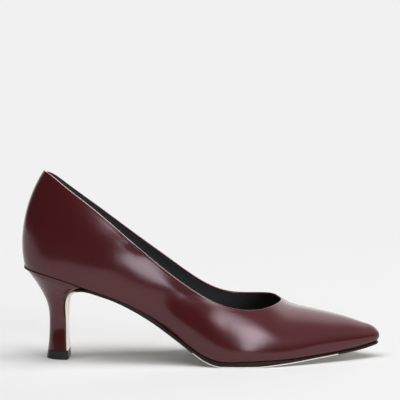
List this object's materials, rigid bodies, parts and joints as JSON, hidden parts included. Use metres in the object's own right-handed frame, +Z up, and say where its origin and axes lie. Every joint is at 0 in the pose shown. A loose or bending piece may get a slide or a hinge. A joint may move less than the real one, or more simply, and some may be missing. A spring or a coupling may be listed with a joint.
{
  "type": "pointed-toe heeled pump",
  "caption": "Pointed-toe slip-on leather pump with a low-cut collar, an arched leather sole carried down the heel breast, and a flared mid-height heel.",
  "frame": {"origin": "centre of the shoe's bounding box in plan, on the floor", "axes": "+X from heel to toe, +Y towards the inner side of the foot, +Z up from the floor"},
  "size_m": [0.2516, 0.0748, 0.1317],
  "materials": {
    "upper_leather": "smooth semi-gloss oxblood leather",
    "lining": "satin black lining leather",
    "sole_leather": "natural cream leather with a painted black edge",
    "heel_cover": "oxblood lacquer",
    "tip_rubber": "matt black"
  },
  "bodies": {
    "root": {"upper": "upper_leather", "insole": "lining", "outsole": "sole_leather", "heel": "heel_cover", "top_piece": "tip_rubber"}
  },
  "joints": []
}
